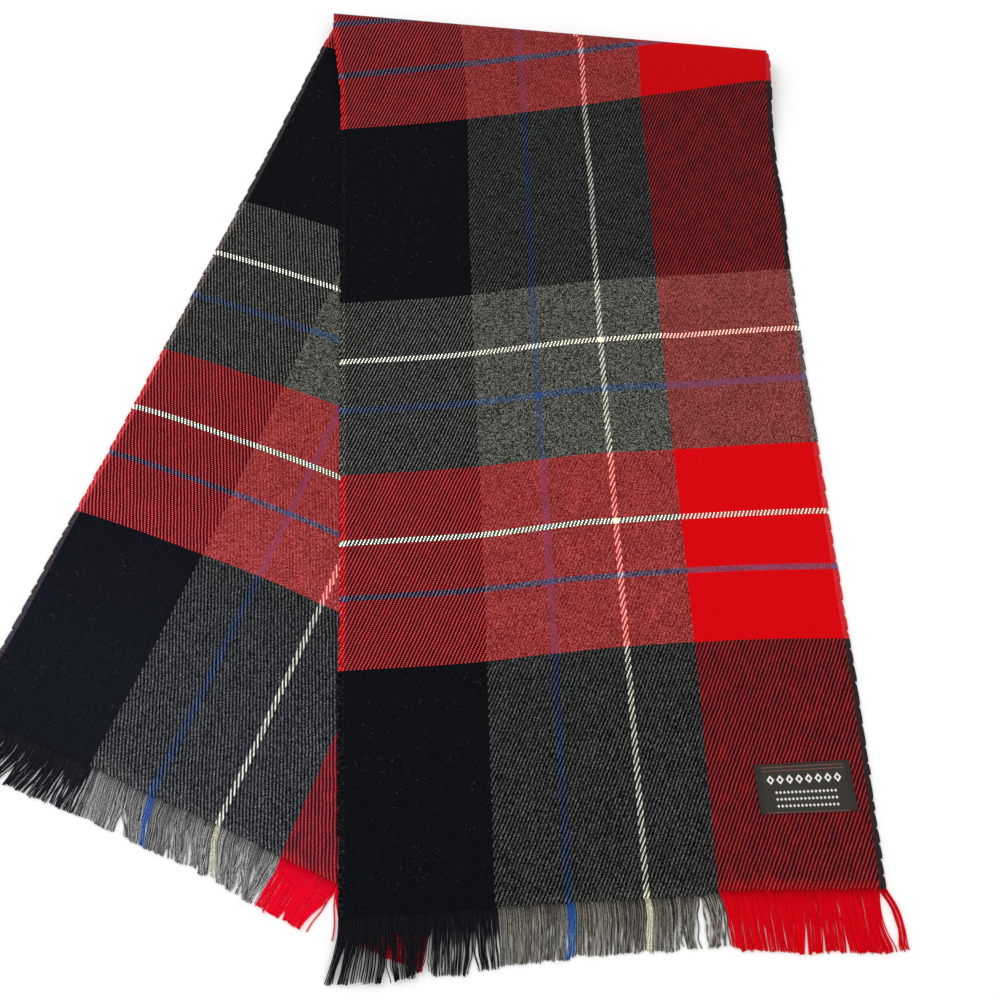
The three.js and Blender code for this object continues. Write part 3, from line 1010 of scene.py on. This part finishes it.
def fringe_paths(stretch, high, random):
    """The path of every loose warp end of a stretch, in order from its left selvedge."""
    ends = (np.arange(ENDS) + 0.5 + random.normal(0, 0.15, ENDS)) / ENDS
    shares, *kinds = np.array(LIE[stretch.name]).T
    lean, length, clump, wave = (np.interp(ends, shares, kind) for kind in kinds)
    knots = random.normal(0, 1, CLUMPS + 10)
    lean = lean + clump * np.interp(ends * CLUMPS, np.arange(len(knots)), knots)
    lock, cling = in_locks(stretch, ends, random)
    length = length * (1 + random.normal(0, 0.01, lock.max() + 1)[lock])
    length = length * (1 + random.normal(0, 0.009, ENDS)) * MM
    # The yarns begin where the weft ends, on in line with the warp.
    start = end_along(stretch, ends)
    root = stretch.plan(ends, start)
    root[:, 0] += edge_shift(stretch, ends, 0 * ends)
    inward = stretch.plan(ends, start + 0.01) - root
    inward /= np.linalg.norm(inward, axis=1, keepdims=True)
    warp_lean = np.degrees(np.arctan2(-inward[:, 0], inward[:, 1]))
    sideways = stretch.end_right - stretch.end_left
    sideways /= np.linalg.norm(sideways)
    parted = partings(stretch, random)
    phase = random.random((4, ENDS)) * 2 * pi
    stray = random.normal(0, 1, ENDS)
    # A few yarns ignore the partings and cross them.
    across_gap = random.random(ENDS) < 0.04 + 0.25 * smooth((wave - 1.5) / 0.3)
    bend = np.where(across_gap, 2.2, 1.0) * wave
    paths = np.zeros((ENDS, len(STEPS) + 1, 3))
    line = root.copy()
    hold = 1.0 + random.random(ENDS)
    paths[:, 0, :2] = root + inward * hold[:, None] * MM
    stride = (length / (len(STEPS) - 1))[:, None]
    for k, t in enumerate(STEPS):
        if k:
            turned = smooth((t - 0.04) / 0.5)
            line = line + pointed(warp_lean * (1 - turned) + lean * turned) * stride
        push = sum(pushed(parting, ends, t) for parting in parted)
        push = np.where(across_gap, 0.3 * push, push)
        wiggle = np.sin(phase[0] + 4.5 * t) * 0.28 + np.sin(phase[1] + 13 * t) * 0.18 + stray * 0.22 * t
        aside = push + cling * smooth((t - 0.35) / 0.3) + bend * wiggle * smooth(t / 0.3) * (0.4 + 0.6 * t)
        paths[:, k + 1, :2] = line + sideways * aside[:, None] * MM
    # They leave the cloth half-way up it and settle on what is under them, the high ones over the rest.
    for k in range(len(STEPS) + 1):
        t = max(0, k - 1) / (len(STEPS) - 1)
        held = 0.40 if k == 0 else 0.55
        rise = (held * (1 - smooth(t / 0.4)) + (0.36 + 0.5 * high) * smooth(t / 0.4)) * MM
        rest = rest_height(paths[:, k, :2]) if stretch is upper else 0.0
        paths[:, k, 2] = rest + rise + 0.1 * MM * np.sin(phase[2] + 9 * t)
    return paths


def yarn_colours(stretch, high, random):
    """The dye of every warp end, as light. Its shade is partly random and partly set by how high it lies,
    the high ones paler: painted light.
    """
    dyes = []
    for yarn, threads in WARP_SETT:
        dark, pale = YARN_SHADES[stretch.name][yarn]
        for _ in range(threads):
            share = 0.6 * high[len(dyes)] + 0.4 * random.random()
            dyes.append(linear(*(d + (p - d) * share for d, p in zip(dark, pale))))
    return np.array(dyes)


RUN_FINISH = {"black": black_yarn, "grey": grey_yarn, "red": red_yarn}
for stretch, seed in ((upper, 11), (lower, 12)):
    random = np.random.default_rng(seed)
    # Every other end, more or less, was raised by the last pick and lies higher.
    high = (np.arange(ENDS) + np.cumsum(random.random(ENDS) < 0.12)) % 2
    high = 0.65 * high + 0.35 * random.random(ENDS)
    paths = fringe_paths(stretch, high, random)
    colours = yarn_colours(stretch, high, random)
    points = paths.shape[1]
    thick = (0.31 + 0.05 * random.random(ENDS))[:, None] * MM * np.ones(points)
    for run, (first, last) in RUN_ENDS.items():
        fuller = FULLNESS[stretch.name][run]
        thick[first:last] *= np.interp(np.linspace(0, 1, points), [0.3, 0.65], fuller)
    # The roots are in shade between the last picks, the black ones less so.
    from_root = np.maximum(0, np.arange(points) - 1) * 2.6
    dim = 1 - np.outer(0.35 + 0.3 * random.random(ENDS), np.exp(-from_root / 3.4))
    dim[:BLACK_ENDS] = 1 - 0.3 * (1 - dim[:BLACK_ENDS])
    for run, (first, last) in RUN_ENDS.items():
        title = f"{stretch.name}_{run}_yarns"
        some = slice(first, last)
        mesh = yarn_mesh(title, paths[some], thick[some], colours[some], dim[some])
        nodes = [f"{stretch.name}_fringe_{run}"]
        place(title, mesh, RUN_FINISH[run], nodes, f"{run}_yarn")


# ---- The lint ----
# Curled pale fibres, 1 to 5 mm long, that the nap of the black blocks has caught here and there. They
# are shed from the other yarns in wear and lie loose on the nap.

# The picks of the black blocks, a little inside their edges, counted from the fringe.
BLACK_PICKS = [(0, 113), (326, 437)]


def lint_paths(stretch, random, tries):
    """Fibres on the black blocks of a stretch, lying on its nap."""
    across, along = random.uniform(0.01, 0.28, tries), random.uniform(0.02, 0.9, tries)
    under, _, pick = lying(stretch, across[None, :], along[None, :])
    on_black = np.any([(pick[0] > first) & (pick[0] < last) for first, last in BLACK_PICKS], axis=0)
    start = under[0, on_black, :2]
    count = len(start)
    heading = random.uniform(0, 2 * pi, count)
    curl = random.normal(0, 1.6, count)
    long = (1 + 3.5 * random.random(count) ** 2.5) * MM
    along = np.linspace(0, 1, 8)
    angle = heading[:, None] + curl[:, None] * along + 0.8 * np.sin(5 * along + heading[:, None])
    stride = np.stack([np.cos(angle), np.sin(angle)], -1) * (long / (len(along) - 1))[:, None, None]
    plan = start[:, None] + np.cumsum(stride, axis=1)
    high = height_of(stretch, plan) + CLOTH + (0.05 + 0.12 * random.random(count))[:, None] * MM
    return np.dstack([plan, high])


random = np.random.default_rng(5)
fibres = np.concatenate([lint_paths(upper, random, 520), lint_paths(lower, random, 420)])
tone = random.uniform(0.04, 0.15, len(fibres))[:, None] * np.array([1.0, 0.99, 0.97])
lint_mesh = yarn_mesh("lint", fibres, 0.05 * MM, tone)
lint = place("lint", lint_mesh, black_yarn, [], "plaid_cloth")


# ---- The label ----
# A woven satin label, 55 by 27.5 mm, sewn on near the right selvedge above the upper fringe. Its ends
# are turned under. It carries a plain repeated ornament and fine border lines, and no lettering.

# Its size and its thickness over the nap in millimetres, and its colours on the dyer's chart.
LABEL_LONG = 55
LABEL_HIGH = 27.5
LABEL_THICK = 0.62
LABEL_GROUND = (45, 42, 37)
LABEL_THREAD = (232, 230, 222)
LABEL_LINE = (128, 72, 64)
# Its corners on the plan; it was sewn on a little askew.
near_left = np.array([202.4, -236.7]) * MM
near_right = np.array([257.8, -234.8]) * MM
far_right = np.array([255.2, -206.2]) * MM
far_left = np.array([200.2, -209.2]) * MM


def on_label(a, b):
    """The plan points at shares of the label's length and height."""
    near = near_left + (near_right - near_left) * a[..., None]
    far = far_left + (far_right - far_left) * a[..., None]
    return near + (far - near) * b[..., None]


a, b = np.meshgrid(np.linspace(0, 1, 45), np.linspace(0, 1, 19))
plan = on_label(a, b)
from_end = np.minimum(a, 1 - a) * LABEL_LONG
from_side = np.minimum(b, 1 - b) * LABEL_HIGH
turned_end = 0.30 * smooth((3.4 - from_end) / 0.8)
worn_edge = 0.25 * (1 - smooth(np.minimum(from_end, from_side) / 0.8))
ripple = 0.10 * np.sin(7 * a + 3 * b) + 0.08 * np.sin(17 * a - 5 * b)
lift = LABEL_THICK + turned_end - worn_edge + ripple * smooth(from_side / 4)
nap = height_of(upper, plan) + CLOTH
top = np.dstack([plan, nap + lift * MM])
bottom = np.dstack([plan, nap - 0.05 * MM])
points, faces, _, layout = shell(bottom, top, a, b)
spread = np.tile(np.stack([a.ravel() * LABEL_LONG, b.ravel() * LABEL_HIGH], 1), (2, 1))
label_mesh = smooth_mesh(
    "label_patch", points, faces.tolist(), {"label": spread[faces.ravel()], "OFBake": layout})

# Group 4: where pale ornament thread and the border lines show on a label, in millimetres.
board, given, result = node_group(
    "label_ornament", {"Along": "Float", "Up": "Float"}, {"Pale": "Float", "Line": "Float"})


def within(first, last):
    """1 between two places along the label."""
    begun = board.math("GREATER_THAN", given["Along"], first)
    return board.times(begun, board.math("LESS_THAN", given["Along"], last))


def lozenges(middle, first, last, pitch, tall, stroke):
    """A row of open lozenges side by side."""
    at = board.math("DIVIDE", board.minus(given["Along"], first), pitch)
    aside = board.math("ABSOLUTE", board.minus(board.math("FRACT", at), 0.5))
    rise = board.math("ABSOLUTE", board.minus(given["Up"], middle))
    ring = board.plus(board.times(aside, pitch), board.times(rise, pitch / tall))
    off = board.math("ABSOLUTE", board.minus(ring, pitch / 2 - stroke))
    return board.times(board.math("LESS_THAN", off, stroke / 2), within(first, last))


def border(middle):
    """A fine straight line along the label."""
    off = board.math("ABSOLUTE", board.minus(given["Up"], middle))
    return board.times(board.math("LESS_THAN", off, 0.2), within(4, 51))


pale = lozenges(18.6, 5.5, 49.5, 5.5, 6.6, 1.15)
for row_at in (11.6, 7.9, 4.2):
    pale = board.math("MAXIMUM", pale, lozenges(row_at, 9.5, 45.5, 2.25, 2.5, 0.62))
board.feed(result["Pale"], pale)
line = border(0.7)
for line_at in (23.6, 25.6):
    line = board.math("MAXIMUM", line, border(line_at))
board.feed(result["Line"], line)
label_ornament = board.tree

label_satin, label_shader = shade("label_satin", 0.55)
board = Board(label_satin.node_tree)
split = board.node("ShaderNodeSeparateXYZ", board.node("ShaderNodeUVMap", uv_map="label").outputs[0])
along, up = split.outputs[:2]
ornament = board.node("ShaderNodeGroup", along, up, node_tree=label_ornament)
drawn = board.mix(ornament.outputs["Line"], linear(*LABEL_GROUND), linear(*LABEL_LINE))
drawn = board.mix(ornament.outputs["Pale"], drawn, linear(*LABEL_THREAD))
# The turned ends look darker, and the satin is faintly streaked along its length.
folded = board.ranged(board.math("MINIMUM", along, board.minus(LABEL_LONG, along)), 2.8, 3.6, 0.72, 1.0)
streak = board.noise(board.vector(board.times(along, 0.9), board.times(up, 5.0)), 1.0, 2.0)
streak = board.ranged(streak, 0.2, 0.8, 0.8, 1.2)
board.feed(label_shader.inputs["Base Color"], board.scale(drawn, board.times(folded, streak)))
weft_line = board.math("FRACT", board.times(up, 3.0))
board.bump(label_shader, weft_line, 0.25, 0.1 * MM)
label_shader.inputs["Specular IOR Level"].default_value = 0.25
label = place("label_patch", label_mesh, label_satin, ["label"], "label_satin")

# Small stitches hold each end of it. Their length, their spacing and how far in they are, in
# millimetres.
STITCH = 1.5
STITCH_PITCH = 2.4
STITCH_IN = 1.6
stitch_paths = []
for end_at in (STITCH_IN, LABEL_LONG - STITCH_IN):
    for up_at in np.arange(1.2, LABEL_HIGH - STITCH, STITCH_PITCH):
        run = np.linspace(0, 1, 5)
        spot = on_label(np.full(5, end_at / LABEL_LONG), (up_at + STITCH * run) / LABEL_HIGH)
        high = height_of(upper, spot) + CLOTH + (0.72 + 0.25 * np.sin(pi * run)) * MM
        stitch_paths.append(np.column_stack([spot, high]))
stitch_paths = np.array(stitch_paths)
stitch_thread, stitch_shader = shade("stitch_thread", 0.6)
stitch_shader.inputs["Base Color"].default_value = linear(34, 31, 29)
stitches = yarn_mesh("label_stitches", stitch_paths, 0.13 * MM, np.ones((len(stitch_paths), 3)))
stitching = place("label_stitches", stitches, stitch_thread, [], "label_satin")
